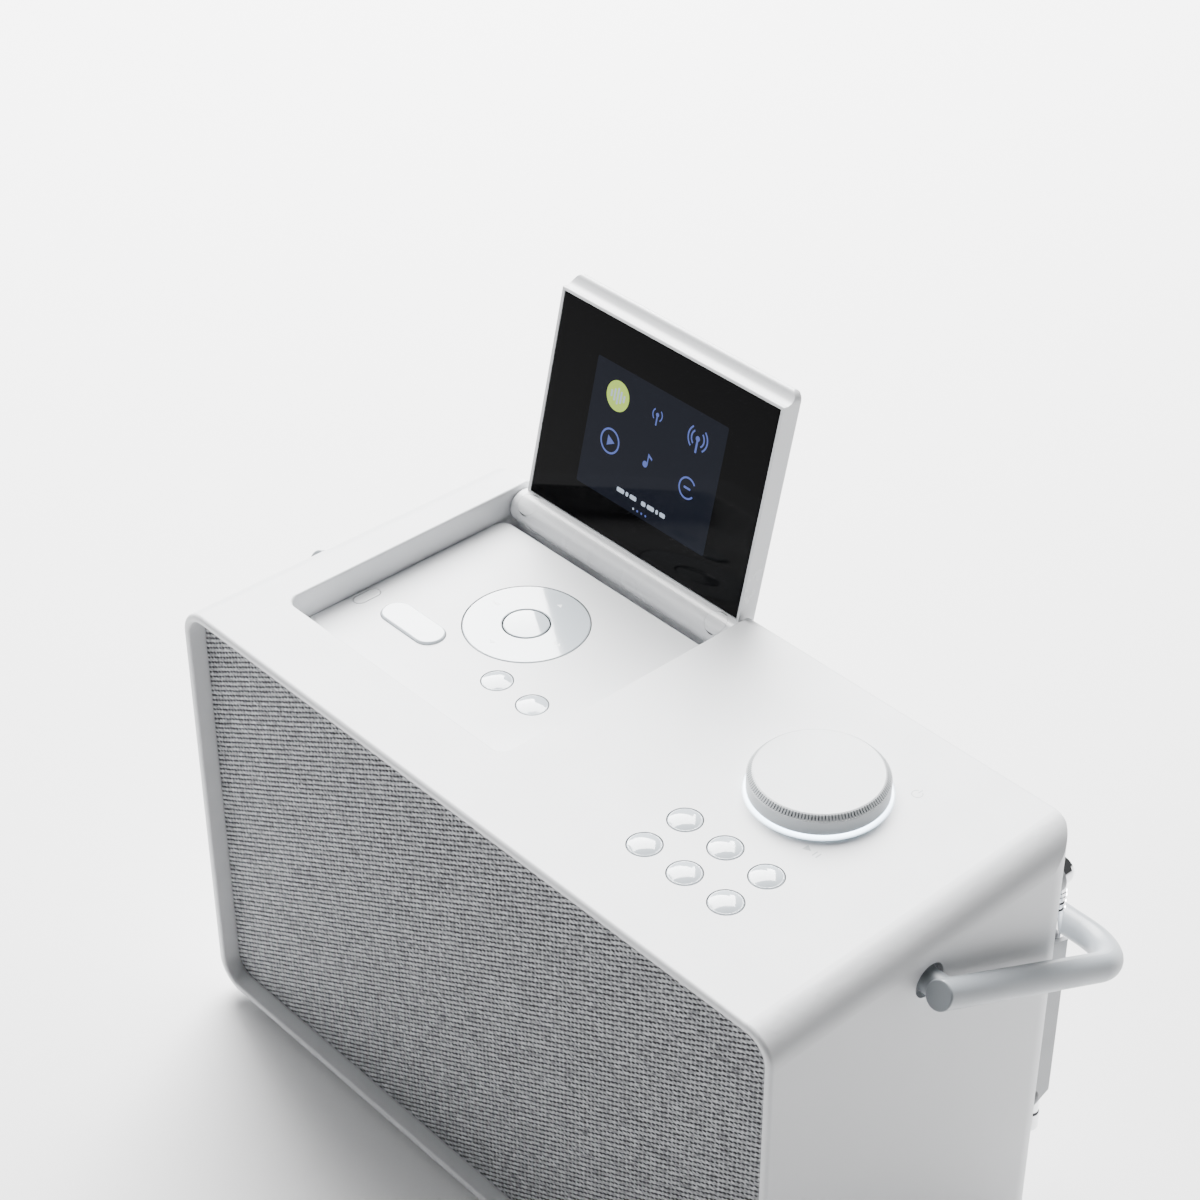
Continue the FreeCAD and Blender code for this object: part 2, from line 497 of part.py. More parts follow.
# ---------------------------------------------------------------- presets, dial
PB = ZT - 11.6                            # top of the preset board
pboard = box(40, 104, 20, 112, PB - 1.6, PB)
put("preset_board", pboard)
pk = []
for x in PRESET_X:
    for y in PRESET_Y:
        pk.append(tact(x, y, PB))
put("preset_switches", group(pk))
n = 0
for y in PRESET_Y:
    for x in PRESET_X:
        n += 1
        put("preset_button_%d" % n, round_button(x, y, PRESET_R, ZT + 0.1, 0.95, ZT - WALL - 1.15,
                                                 stem_to=PB + 3.6 + KEY_GAP))

lr = [(10.5, ZT - 1.6), (DIAL_R + 1.0, ZT - 1.6), (DIAL_R + 1.0, ZT - 0.05), (DIAL_R + 0.75, ZT + 0.1),
      (DIAL_R - 0.6, ZT + 0.1), (DIAL_R - 0.6, ZT - 0.6), (10.5, ZT - 0.6)]
vs = [V(DIAL_X + a, DIAL_Y, b) for a, b in lr]
put("dial_light_ring", Part.Face(Part.makePolygon(vs + [vs[0]])).revolve(V(DIAL_X, DIAL_Y, 0), V(0, 0, 1), 360))

enc = box(DIAL_X - 6.5, DIAL_X + 6.5, DIAL_Y - 6.5, DIAL_Y + 6.5, PB, PB + 4.6)
enc = enc.fuse(cylz(5.0, DIAL_X, DIAL_Y, PB + 4.6, PB + 9.0))
enc = enc.cut(cylz(3.3, DIAL_X, DIAL_Y, PB + 1.0, PB + 12))
put("encoder_body", enc.removeSplitter())
DZ0 = ZT + 1.0
DZ1 = DZ0 + DIAL_H
# push sleeve slides in the body; the shaft turns in the sleeve
slv = cylz(3.25, DIAL_X, DIAL_Y, PB + 2.2, PB + 8.6).cut(cylz(2.55, DIAL_X, DIAL_Y, PB + 1, PB + 12))
put("encoder_plunger", slv)
put("encoder_shaft", cylz(2.5, DIAL_X, DIAL_Y, PB + 2.2, DZ0 + 3.0).cut(
    box(DIAL_X - 4, DIAL_X + 4, DIAL_Y + 1.6, DIAL_Y + 4, ZT - 1.0, ZT + 6)))
dp = [(0, DZ0 + 3.0), (6.0, DZ0 + 3.0), (6.0, DZ0 - 1.2), (8.2, DZ0 - 1.2), (8.2, DZ0 + 3.0),
      (DIAL_R - 2.6, DZ0 + 3.0), (DIAL_R - 2.6, DZ0), (DIAL_R - 0.3, DZ0), (DIAL_R, DZ0 + 0.3),
      (DIAL_R, DZ1 - 1.9), (DIAL_R - 1.5, DZ1 - 0.25), (DIAL_R - 2.1, DZ1), (0, DZ1 + 0.25)]
vs = [V(DIAL_X + a, DIAL_Y, b) for a, b in dp]
dial = Part.Face(Part.makePolygon(vs + [vs[0]])).revolve(V(DIAL_X, DIAL_Y, 0), V(0, 0, 1), 360)
hub = cylz(6.05, DIAL_X, DIAL_Y, DZ0 - 1.2, DZ0 + 3.2).cut(cylz(2.5, DIAL_X, DIAL_Y, 0, DZ0 + 3.0)
                                                            .cut(box(DIAL_X - 4, DIAL_X + 4, DIAL_Y + 1.6, DIAL_Y + 4,
                                                                     ZT - 1.0, ZT + 6)))
dial = dial.fuse(hub).removeSplitter()
# grip notches round the top edge, cut on the bevel
notches = []
for k in range(NOTCHES):
    a = 2 * math.pi * k / NOTCHES
    c = Part.makeBox(2.6, 0.46, 2.0, V(DIAL_R - 1.7, -0.23, DZ1 - 1.7))
    c.rotate(V(0, 0, 0), V(0, 0, 1), math.degrees(a))
    c.translate(V(DIAL_X, DIAL_Y, 0))
    notches.append(c)
dial = dial.cut(notches)
put("dial", dial)

# ---------------------------------------------------------------- flip-up display
# Lid axes: X along the hinge, v back through the lid, u up the lid, from the hinge axis.
V0, V1 = -0.8, -0.8 + LID_T


def lean(shape):
    s = shape.copy()
    s.rotate(V(0, 0, 0), V(1, 0, 0), -LEAN)
    s.translate(V(0, AXIS_Y, AXIS_Z))
    return s


def lid_profile():
    """Side outline (v, u): foot, flat back, rounded ridge, finger curve, front rim."""
    a = V(0, V0, 5.2)
    b = V(0, V0, LID_TOP - 0.6)
    c = V(0, V0 + 0.18, LID_TOP - 0.18)
    d = V(0, V0 + 0.6, LID_TOP)
    e = V(0, V0 + 1.6, LID_TOP)
    f = V(0, V0 + 3.7, LID_TOP + 1.15)
    g = V(0, V0 + 4.9, LID_TOP + 3.1)
    h = V(0, V0 + 6.2, LID_TOP + 4.3)
    i = V(0, V1 - 0.55, LID_TOP + 3.4)
    j = V(0, V1, LID_TOP + 1.6)
    k = V(0, V1, 4.0)
    e1 = [Part.LineSegment(a, b), Part.Arc(b, c, d), Part.LineSegment(d, e), Part.Arc(e, f, g),
          Part.Arc(g, h, i), Part.LineSegment(i, j), Part.LineSegment(j, k), Part.LineSegment(k, a)]
    return Part.Face(Part.Wire([s.toShape() for s in e1]))


lid = lid_profile()
lid.translate(V(LID_X0, 0, 0))
lid = lid.extrude(V(LID_X1 - LID_X0, 0, 0))
# round the upright corners at both ends of the top, seen from the front
for s in (-1, 1):
    xe = LID_X0 if s < 0 else LID_X1
    r = 4.0
    cx = xe - s * r
    t = box(min(cx, xe + s * 2), max(cx, xe + s * 2), V0 + 2.2, V1 + 1, LID_TOP + 0.6, LID_TOP + 8)
    lid = lid.cut(t.cut(cyly(r, cx, LID_TOP + 0.6, V0 - 5, V1 + 5)))
lid = fillet(lid, 1.2, lambda e: (on_plane(e, "x", LID_X0) or on_plane(e, "x", LID_X1)) and
             on_plane(e, "y", V1), (1.0, 0.6, 0.3))
lid = lid.cut(cylx(BARREL_R + 0.0, 0, 0, LID_X0 - 1, LID_X1 + 1))
SPLIT = V0 + 2.9
bezel = lid.common(box(-200, 200, -20, SPLIT, -20, 120))
bezel = bezel.cut(box(GLASS_X0 - 0.15, GLASS_X1 + 0.15, V0 - 1, V0 + 1.5, GLASS_U0 - 0.15, GLASS_U1 + 0.15))
bezel = bezel.cut(box(LCD_X0 - 4, LCD_X1 + 4, V0, SPLIT + 1, LCD_U0 - 4, LCD_U1 + 4))
rear = lid.common(box(-200, 200, SPLIT, 20, -20, 120))
rear = rear.cut(box(LID_X0 + 2.0, LID_X1 - 2.0, SPLIT - 1, V1 - 1.8, 12.0, LID_TOP - 3.0))
rear = rear.fuse([cyly(3.0, x, u, SPLIT, V1 - 1.0).cut(cyly(1.1, x, u, SPLIT - 1, V1 - 2.5))
                  for x in (LID_X0 + 8, LID_X1 - 8) for u in (18, LID_TOP - 9)]).removeSplitter()
put("display_bezel", lean(bezel))
put("display_rear_shell", lean(rear))
glass = box(GLASS_X0, GLASS_X1, V0, V0 + 1.3, GLASS_U0, GLASS_U1)
glass = fillet(glass, 0.35, lambda e: on_plane(e, "y", V0))
put("display_glass", lean(glass))
lcd = box(LCD_X0 - 3, LCD_X1 + 3, V0 + 1.5, SPLIT + 1.0, LCD_U0 - 3, LCD_U1 + 3)
put("lcd_panel", lean(lcd))

# hinge barrel: moulded tube across the lid's foot, keyed to the lid by two screws under plugs
BX0, BX1 = WELL_X0 + 0.5, WELL_X1 - 0.5
barrel = cylx(BARREL_R, 0, 0, BX0, BX1)
barrel = fillet(barrel, 1.0, lambda e: on_plane(e, "x", BX0) or on_plane(e, "x", BX1))
PLUG_X = (BX0 + 7.2, BX1 - 7.2)
PLUG_DIR = V(0, -math.cos(math.radians(28 + LEAN)), math.sin(math.radians(28 + LEAN)))


def radial(r, x, a, b):
    return Part.makeCylinder(r, b - a, V(x, 0, 0) + PLUG_DIR * a, PLUG_DIR)


barrel = barrel.cut([radial(4.3, x, 3.9, 9) for x in PLUG_X])
barrel = barrel.cut([cylx(2.05, 0, 0, BX0 - 1, BX0 + 2.8), cylx(2.05, 0, 0, BX1 - 2.8, BX1 + 1)])
barrel = barrel.cut(box(-90, -72, -2.2, 2.2, -8, -2.5))
put("hinge_barrel", lean(barrel))
plugs = [radial(4.2, x, 5.0, 9).common(cylx(BARREL_R - 0.02, 0, 0, x - 6, x + 6)) for x in PLUG_X]
put("barrel_plugs", lean(group(plugs)))
scr = [radial(2.4, x, 3.9, 4.9) for x in PLUG_X]
put("barrel_screws", lean(group(scr)))
pins = [cylx(2.0, AXIS_Y, AXIS_Z, WELL_X0 - 1.9, BX0 + 2.3), cylx(2.0, AXIS_Y, AXIS_Z, BX1 - 2.3, WELL_X1 + 1.9)]
shell_pin_holes = [cylx(2.0, AXIS_Y, AXIS_Z, WELL_X0 - 2.0, WELL_X0 + 1), cylx(2.0, AXIS_Y, AXIS_Z, WELL_X1 - 1, WELL_X1 + 2.0)]
shell = shell.cut(shell_pin_holes)
put("cabinet_shell", shell)
put("hinge_pins", group(pins))
# flat ribbon that comes up through the trough's slot
rib = box(-94, -72, TROUGH_Y0 + 1.45, TROUGH_Y0 + 2.15, ZT - 26, ZT - TROUGH_DEPTH + 1.0)
put("display_ribbon", rib)

# ---------------------------------------------------------------- carrying handle
ca, sa = math.cos(math.radians(-ARM_DROP)), math.sin(math.radians(-ARM_DROP))


def arm_pt(x, s):
    return V(x, HANDLE_Y + s * ca, HANDLE_Z + s * sa)


S0 = -5.2
p0 = arm_pt(-ARM_X, S0)
p1 = arm_pt(-ARM_X, ARM_L - BEND_R)
p2 = arm_pt(-ARM_X + BEND_R, ARM_L)
p3 = arm_pt(ARM_X - BEND_R, ARM_L)
p4 = arm_pt(ARM_X, ARM_L - BEND_R)
p5 = arm_pt(ARM_X, S0)
k = BEND_R * (1 - math.cos(math.pi / 4))
m1 = arm_pt(-ARM_X + k, ARM_L - k)
m2 = arm_pt(ARM_X - k, ARM_L - k)
path = Part.Wire([Part.LineSegment(p0, p1).toShape(), Part.Arc(p1, m1, p2).toShape(),
                  Part.LineSegment(p2, p3).toShape(), Part.Arc(p3, m2, p4).toShape(),
                  Part.LineSegment(p4, p5).toShape()])
prof = Part.Wire([Part.Circle(p0, p1 - p0, HANDLE_R).toShape()])
tube = path.makePipeShell([prof], True, True)
tube = fillet(tube, 0.6, lambda e: (on_plane(e, "x", 1e9) or e.Length < 2 * math.pi * HANDLE_R * 1.01)
              and e.Length > 2 * math.pi * HANDLE_R * 0.99
              and abs(e.CenterOfMass.y - HANDLE_Y) < 12)
put("handle_tube", tube)
hx = half_at(HANDLE_Y)
hp = []
clips = []
bushes = []
for s in (1, -1):
    pin = cylx(4.2, HANDLE_Y, HANDLE_Z, hx - 12.0, ARM_X - 1.0)
    groove = cylx(5, HANDLE_Y, HANDLE_Z, hx - 11.4, hx - 10.4).cut(cylx(3.4, HANDLE_Y, HANDLE_Z, hx - 12, hx - 10))
    pin = pin.cut(groove)
    clip = cylx(6.2, HANDLE_Y, HANDLE_Z, hx - 11.35, hx - 10.5 + 0.05).cut(
        cylx(3.45, HANDLE_Y, HANDLE_Z, hx - 12, hx - 10))
    clip = clip.cut(box(0, 300, HANDLE_Y - 2.6, HANDLE_Y + 2.6, HANDLE_Z - 10, HANDLE_Z))
    bush = cylx(6.8, HANDLE_Y, HANDLE_Z, hx - 10.3, hx - 2.2).cut(cylx(4.25, HANDLE_Y, HANDLE_Z, 0, 300))
    if s < 0:
        pin, clip, bush = [q.mirror(V(0, 0, 0), V(1, 0, 0)) for q in (pin, clip, bush)]
    hp.append(pin.cut(tube))
    clips.append(clip)
    bushes.append(bush)
put("handle_pins", group(hp))
put("handle_clips", group(clips))
put("handle_bushes", group(bushes))

# ---------------------------------------------------------------- aerial
# moulded guard beside the stowed mast, following the cabinet's rounded corner
gz0, gz1 = ZT - 127.0, ZT - 46.0
g = box(MAST_X - 9.0, MAST_X + 5.2, D - 8, MAST_Y + 1.2, gz0, gz1)
g = g.cut(box(MAST_X - 20, MAST_X + 3.4, D + 0.45, MAST_Y + 20, gz0 - 1, gz1 + 1))
g = g.cut(cylz(R_PLAN + 0.3, CX, CY, 0, 300)).cut(box(-200, CX, 0, D + 0.1, 0, 300))
ch = Part.Face(Part.makePolygon([V(0, D - 20, gz0 - 1), V(0, MAST_Y + 5, gz0 - 1), V(0, MAST_Y + 5, gz0 + 11),
                                 V(0, D - 20, gz0 - 1)]))
ch = ch.extrude(V(400, 0, 0))
g = g.cut(ch)
ch2 = Part.Face(Part.makePolygon([V(0, D - 20, gz1 + 1), V(0, MAST_Y + 5, gz1 + 1), V(0, MAST_Y + 5, gz1 - 7),
                                  V(0, D - 20, gz1 + 1)]))
g = g.cut(ch2.extrude(V(400, 0, 0)))
g = g.fuse(Part.makeSphere(2.6, V(MAST_X + 4.6, D - 3.2, ZT - 116)).common(box(0, 300, 0, 300, 0, 300)))
g = g.cut(outer)
sol = sorted(g.Solids, key=lambda q: -q.Volume)
put("aerial_guard", sol[0] if sol else g)

# fixed boss on the rear, then the swivelling knuckle with the mast
boss = cyly(5.6, MAST_X, PIN_Z, D - 7.0, D + 0.1).cut(cyly(2.05, MAST_X, PIN_Z, D - 6.2, D + 5))
put("aerial_boss", boss)
AY0 = D + 0.45
AXX = MAST_X
kp = [(0, D - 6.0), (2.0, D - 6.0), (2.0, AY0), (4.5, AY0), (4.7, AY0 + 0.3), (4.7, MAST_Y + 0.2), (4.2, MAST_Y + 1.5),
      (3.1, MAST_Y + 2.5), (1.8, MAST_Y + 2.8), (1.8, MAST_Y + 2.3), (0, MAST_Y + 2.3)]
kv = [V(AXX + a, b, PIN_Z) for a, b in kp]
knuckle = Part.Face(Part.makePolygon(kv + [kv[0]])).revolve(V(AXX, 0, PIN_Z), V(0, 1, 0), 360)
if knuckle.Volume < 0:
    knuckle.reverse()
knuckle = Part.Solid(knuckle) if knuckle.ShapeType == "Shell" else knuckle
knuckle = knuckle.fuse(cylz(2.6, AXX, MAST_Y, PIN_Z - 8.0, PIN_Z - 1.0))
put("aerial_knuckle", knuckle.removeSplitter())
T0 = PIN_Z - 8.0                           # top of the mast's outer tube
TB = ZT - 129.5                            # bottom rim with the sections pushed in
WALL_T = 0.25
radii = (2.5, 2.2, 1.9, 1.6)
clear = 0.05
m1 = cylz(2.5, MAST_X, MAST_Y, TB, T0).cut(cylz(2.25, MAST_X, MAST_Y, TB - 1, T0 - 2))
rings = []
for q in range(3):
    zz = T0 - 1.6 - q * 2.6
    rings.append(cylz(2.95, MAST_X, MAST_Y, zz - 1.3, zz).cut(cylz(2.4, MAST_X, MAST_Y, 0, 300)))
m1 = m1.fuse([cylz(2.8, MAST_X, MAST_Y, T0 - 1.2, T0)] + rings).removeSplitter()
put("aerial_mast_1", m1)
L2 = TB
for idx, (ro, ri, top) in enumerate(((2.2, 1.95, T0 - 4), (1.9, 1.65, T0 - 6), (1.6, 1.35, T0 - 8)), start=2):
    put("aerial_mast_%d" % idx, cylz(ro, MAST_X, MAST_Y, TB, top).cut(cylz(ri, MAST_X, MAST_Y, TB - 1, top - 1.5)))
tip = cylz(1.3, MAST_X, MAST_Y, TB - 0.5, T0 - 11)
cap = cylz(3.0, MAST_X, MAST_Y, TB - 8.0, TB - 0.3)
cap = fillet(cap, 0.9, lambda e: on_plane(e, "z", TB - 8.0) or on_plane(e, "z", TB - 0.3))
put("aerial_tip", tip.fuse(cap).removeSplitter())
print("ok", ZT)
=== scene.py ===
import json
import math
import random

import bpy
import bmesh
import numpy as np
from mathutils import Matrix, Vector


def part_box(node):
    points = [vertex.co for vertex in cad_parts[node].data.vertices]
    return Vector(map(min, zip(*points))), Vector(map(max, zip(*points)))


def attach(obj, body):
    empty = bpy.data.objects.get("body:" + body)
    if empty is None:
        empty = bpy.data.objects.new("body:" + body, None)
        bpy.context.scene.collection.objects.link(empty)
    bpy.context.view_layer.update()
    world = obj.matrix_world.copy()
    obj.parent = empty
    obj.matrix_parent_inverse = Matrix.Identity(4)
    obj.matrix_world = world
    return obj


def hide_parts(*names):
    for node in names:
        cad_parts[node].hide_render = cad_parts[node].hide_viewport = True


with open("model.json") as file:
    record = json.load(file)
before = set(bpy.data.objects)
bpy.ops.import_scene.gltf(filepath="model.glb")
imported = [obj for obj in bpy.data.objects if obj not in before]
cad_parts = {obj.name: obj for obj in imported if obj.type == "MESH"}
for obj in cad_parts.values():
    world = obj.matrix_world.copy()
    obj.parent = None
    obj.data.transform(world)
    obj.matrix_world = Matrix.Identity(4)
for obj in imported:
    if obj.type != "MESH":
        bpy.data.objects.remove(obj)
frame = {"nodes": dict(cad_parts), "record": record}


def write_size():
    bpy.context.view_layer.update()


write_size()
rng = random.Random(7)

# design axes (mm): X from the middle, Y from the front rim, Z from the table -> row frame (m)
YC = 79.50
ZT = 171.0
D = 133.5
ZF = ZT - 10.7


def R(x, y, z):
    return Vector((x / 1000.0, (y - YC) / 1000.0, z / 1000.0))


# ------------------------------------------------------------------ node helpers
class Tree:
    """Small wrapper that wires shader nodes."""

    def __init__(self, name):
        self.m = bpy.data.materials.new(name)
        self.m.use_nodes = True
        self.t = self.m.node_tree
        self.t.nodes.clear()
        self.out = self.t.nodes.new("ShaderNodeOutputMaterial")
        self.b = self.t.nodes.new("ShaderNodeBsdfPrincipled")
        self.t.links.new(self.b.outputs[0], self.out.inputs[0])
        self._co = None

    def node(self, kind, **props):
        n = self.t.nodes.new(kind)
        for k, v in props.items():
            setattr(n, k, v)
        return n

    def link(self, a, b):
        self.t.links.new(a, b)

    def put(self, sock, value):
        if hasattr(value, "is_linked") or hasattr(value, "links"):
            self.t.links.new(value, sock)
        else:
            sock.default_value = value

    def coord(self):
        if self._co is None:
            self._co = self.node("ShaderNodeTexCoord").outputs["Object"]
        return self._co

    def xyz(self):
        s = self.node("ShaderNodeSeparateXYZ")
        self.link(self.coord(), s.inputs[0])
        return s.outputs[0], s.outputs[1], s.outputs[2]

    def math(self, op, a, b=0.0, c=0.0, clamp=False):
        n = self.node("ShaderNodeMath", operation=op, use_clamp=clamp)
        self.put(n.inputs[0], a)
        self.put(n.inputs[1], b)
        if op in ("MULTIPLY_ADD", "SMOOTH_MIN", "SMOOTH_MAX", "COMPARE", "WRAP"):
            self.put(n.inputs[2], c)
        return n.outputs[0]

    def noise(self, scale, detail=3.0, rough=0.5, vec=None, stretch=None):
        n = self.node("ShaderNodeTexNoise")
        n.inputs["Scale"].default_value = scale
        n.inputs["Detail"].default_value = detail
        n.inputs["Roughness"].default_value = rough
        v = vec if vec is not None else self.coord()
        if stretch is not None:
            m = self.node("ShaderNodeMapping")
            m.inputs["Scale"].default_value = stretch
            self.link(v, m.inputs["Vector"])
            v = m.outputs[0]
        self.link(v, n.inputs["Vector"])
        return n.outputs["Fac"]

    def remap(self, v, a, b, c, d):
        n = self.node("ShaderNodeMapRange")
        n.inputs["From Min"].default_value = a
        n.inputs["From Max"].default_value = b
        n.inputs["To Min"].default_value = c
        n.inputs["To Max"].default_value = d
        self.put(n.inputs["Value"], v)
        return n.outputs[0]

    def smooth(self, v, a, b):
        n = self.node("ShaderNodeMapRange", interpolation_type="SMOOTHSTEP")
        n.inputs["From Min"].default_value = a
        n.inputs["From Max"].default_value = b
        self.put(n.inputs["Value"], v)
        return n.outputs[0]

    def mix(self, f, a, b):
        n = self.node("ShaderNodeMix", data_type="RGBA")
        self.put(n.inputs[0], f)
        self.put(n.inputs[6], a)
        self.put(n.inputs[7], b)
        return n.outputs[2]

    def bump(self, height, strength, dist):
        n = self.node("ShaderNodeBump")
        n.inputs["Strength"].default_value = strength
        n.inputs["Distance"].default_value = dist
        self.link(height, n.inputs["Height"])
        self.link(n.outputs[0], self.b.inputs["Normal"])
        return n.outputs[0]

    def set(self, **k):
        names = {"base": "Base Color", "rough": "Roughness", "metal": "Metallic", "ior": "IOR",
                 "spec": "Specular IOR Level", "coat": "Coat Weight", "coat_rough": "Coat Roughness",
                 "coat_ior": "Coat IOR", "sheen": "Sheen Weight", "sheen_rough": "Sheen Roughness",
                 "emit": "Emission Color", "emit_s": "Emission Strength", "aniso": "Anisotropic",
                 "sss": "Subsurface Weight", "sss_scale": "Subsurface Scale"}
        for a, v in k.items():
            self.put(self.b.inputs[names[a]], v)


def rgb(r, g, b):
    return (r, g, b, 1.0)


def scaled(c, k):
    return (min(1, c[0] * k), min(1, c[1] * k), min(1, c[2] * k), 1.0)


def plastic(name, col, rough=0.4, grain=1600.0, bump=0.05, dist=0.00005, vary=0.03, spec=0.5,
            coat=0.0, coat_rough=0.1, metal=0.0, rvar=0.06, sss=0.0):
    t = Tree(name)
    broad = t.noise(14.0, 3.0, 0.55)
    fine = t.noise(grain, 2.0, 0.6)
    t.set(base=t.mix(broad, scaled(col, 1 - vary), scaled(col, 1 + vary)),
          rough=t.remap(t.noise(60.0, 4.0, 0.6), 0.3, 0.7, rough - rvar, rough + rvar),
          metal=metal, spec=spec, coat=coat, coat_rough=coat_rough)
    if sss:
        t.set(sss=sss, sss_scale=0.002)
    t.bump(fine, bump, dist)
    return t.m


WHITE = (0.69, 0.70, 0.715)
mats = {}
mats["cabinet_white"] = plastic("cabinet_white", WHITE, rough=0.42, grain=2600.0, bump=0.10, dist=0.00003,
                                vary=0.008, spec=0.45, rvar=0.03)
mats["display_white"] = plastic("display_white", WHITE, rough=0.26, grain=1800.0, bump=0.04, dist=0.00002,
                                vary=0.008, spec=0.5, rvar=0.03)
mats["latch_white"] = plastic("latch_white", WHITE, rough=0.18, grain=1500.0, bump=0.03, dist=0.00002, vary=0.01)
mats["grey_plastic"] = plastic("grey_plastic", (0.36, 0.37, 0.385), rough=0.48, grain=1500.0, bump=0.25,
                               dist=0.00006, vary=0.04)
mats["dark_plastic"] = plastic("dark_plastic", (0.03, 0.03, 0.033), rough=0.5, grain=1400.0, bump=0.2, vary=0.1)
# glossy pale-blue caps; their flanks are painted near-black as painted shade inside the hairline gap round each key
t = Tree("key_gloss")
x, y, z = t.xyz()
# painted shade: height masks for the key flanks below the top face, coloured near-black
gap_shade_low = t.math("LESS_THAN", z, (ZF - 0.22) / 1000)
gap_shade_mid = t.math("MULTIPLY", t.math("LESS_THAN", z, (ZT - 0.25) / 1000), t.math("GREATER_THAN", z, (ZT - 8.0) / 1000))
t.set(base=t.mix(t.math("MAXIMUM", gap_shade_low, gap_shade_mid), t.mix(t.noise(14.0, 3.0), rgb(0.47, 0.515, 0.555), rgb(0.49, 0.535, 0.575)),
                 rgb(0.02, 0.02, 0.022)),
      rough=t.remap(t.noise(60.0, 4.0, 0.6), 0.3, 0.7, 0.08, 0.12), spec=0.6, coat=0.6, coat_rough=0.04)
t.bump(t.noise(900.0, 2.0), 0.02, 0.00001)
mats["key_gloss"] = t.m
mats["speaker_paper"] = plastic("speaker_paper", (0.05, 0.05, 0.055), rough=0.8, grain=700.0, bump=0.5, vary=0.12)
mats["speaker_metal"] = plastic("speaker_metal", (0.035, 0.035, 0.04), rough=0.42, grain=900.0, bump=0.1, metal=0.4)
mats["foot_rubber"] = plastic("foot_rubber", (0.05, 0.05, 0.052), rough=0.75, grain=1800.0, bump=0.3, vary=0.08)
mats["battery_wrap"] = plastic("battery_wrap", (0.04, 0.05, 0.09), rough=0.3, grain=400.0, bump=0.1, vary=0.05)
mats["ribbon"] = plastic("ribbon", (0.012, 0.012, 0.012), rough=0.5, grain=800.0, bump=0.1)
mats["lcd"] = plastic("lcd", (0.01, 0.012, 0.018), rough=0.2)


def metal(name, col, rough, stretch=(1, 1, 1), scale=900.0, bump=0.05, vary=0.05, aniso=0.0):
    t = Tree(name)
    s = t.noise(scale, 3.0, 0.6, stretch=stretch)
    t.set(base=t.mix(s, scaled(col, 1 - vary), scaled(col, 1 + vary)), metal=1.0, aniso=aniso,
          rough=t.remap(t.noise(120.0, 3.0), 0.3, 0.7, rough * 0.8, rough * 1.25))
    t.bump(s, bump, 0.00002)
    return t.m


mats["screw_steel"] = metal("screw_steel", (0.42, 0.42, 0.43), 0.32)
mats["chrome"] = metal("chrome", (0.78, 0.785, 0.80), 0.07, stretch=(1, 1, 0.05), bump=0.03, vary=0.02)

# satin pale-silver dial with faint turned rings on its top
t = Tree("dial_silver")
x, y, z = t.xyz()
dx = t.math("SUBTRACT", x, 70.8 / 1000)
dy = t.math("SUBTRACT", y, (86.3 - YC) / 1000)
rad = t.math("SQRT", t.math("ADD", t.math("MULTIPLY", dx, dx), t.math("MULTIPLY", dy, dy)))
rings = t.math("SINE", t.math("MULTIPLY", rad, 26000.0))
n = t.noise(900.0, 3.0)
t.set(base=t.mix(t.noise(40.0, 3.0), rgb(0.500, 0.520, 0.535), rgb(0.530, 0.550, 0.565)),
      rough=t.remap(n, 0.3, 0.7, 0.30, 0.40), spec=0.5, coat=0.15, coat_rough=0.25)
t.bump(t.math("ADD", t.math("MULTIPLY", rings, 0.35), n), 0.05, 0.00003)
mats["dial_silver"] = t.m

# soft grey painted tube
t = Tree("handle_grey")
fine = t.noise(1500.0, 3.0, 0.6)
t.set(base=t.mix(t.noise(22.0, 3.0), rgb(0.285, 0.310, 0.335), rgb(0.315, 0.340, 0.365)),
      rough=t.remap(t.noise(90.0, 3.0), 0.3, 0.7, 0.33, 0.43), spec=0.5, coat=0.12, coat_rough=0.3)
t.bump(fine, 0.12, 0.00003)
mats["handle_grey"] = t.m

# lit translucent ring, brightest in its middle
t = Tree("light_ring")
x, y, z = t.xyz()
dx = t.math("SUBTRACT", x, 70.8 / 1000)
dy = t.math("SUBTRACT", y, (86.3 - YC) / 1000)
rad = t.math("SQRT", t.math("ADD", t.math("MULTIPLY", dx, dx), t.math("MULTIPLY", dy, dy)))
fall = t.smooth(rad, 0.0232, 0.0220)
t.set(base=rgb(0.85, 0.90, 0.95), rough=t.remap(t.noise(300.0, 3.0), 0.3, 0.7, 0.25, 0.4),
      emit=t.mix(t.noise(60.0, 2.0), rgb(0.70, 0.84, 1.0), rgb(0.78, 0.90, 1.0)),
      emit_s=t.remap(fall, 0.0, 1.0, 2.0, 7.0))
mats["light_ring"] = t.m

# circuit board with faint tracks
t = Tree("board_green")
v = t.node("ShaderNodeTexVoronoi")
v.inputs["Scale"].default_value = 220.0
t.link(t.coord(), v.inputs["Vector"])
t.set(base=t.mix(t.smooth(v.outputs["Distance"], 0.25, 0.4), rgb(0.02, 0.12, 0.06), rgb(0.05, 0.20, 0.10)),
      rough=t.remap(t.noise(200.0), 0.3, 0.7, 0.25, 0.4), spec=0.5)
t.bump(v.outputs["Distance"], 0.2, 0.00005)
mats["board_green"] = t.m

# black cover glass: near-black, polished, a trace of smear in the roughness
t = Tree("black_glass")
t.set(base=t.mix(t.noise(30.0), rgb(0.0022, 0.0022, 0.0025), rgb(0.003, 0.003, 0.0034)),
      rough=t.remap(t.noise(45.0, 3.0, 0.6), 0.35, 0.75, 0.012, 0.03), ior=1.33, spec=0.06)
mats["black_glass"] = t.m


PX, PZ = 0.0036, 0.0020                    # the weave's repeat across and up


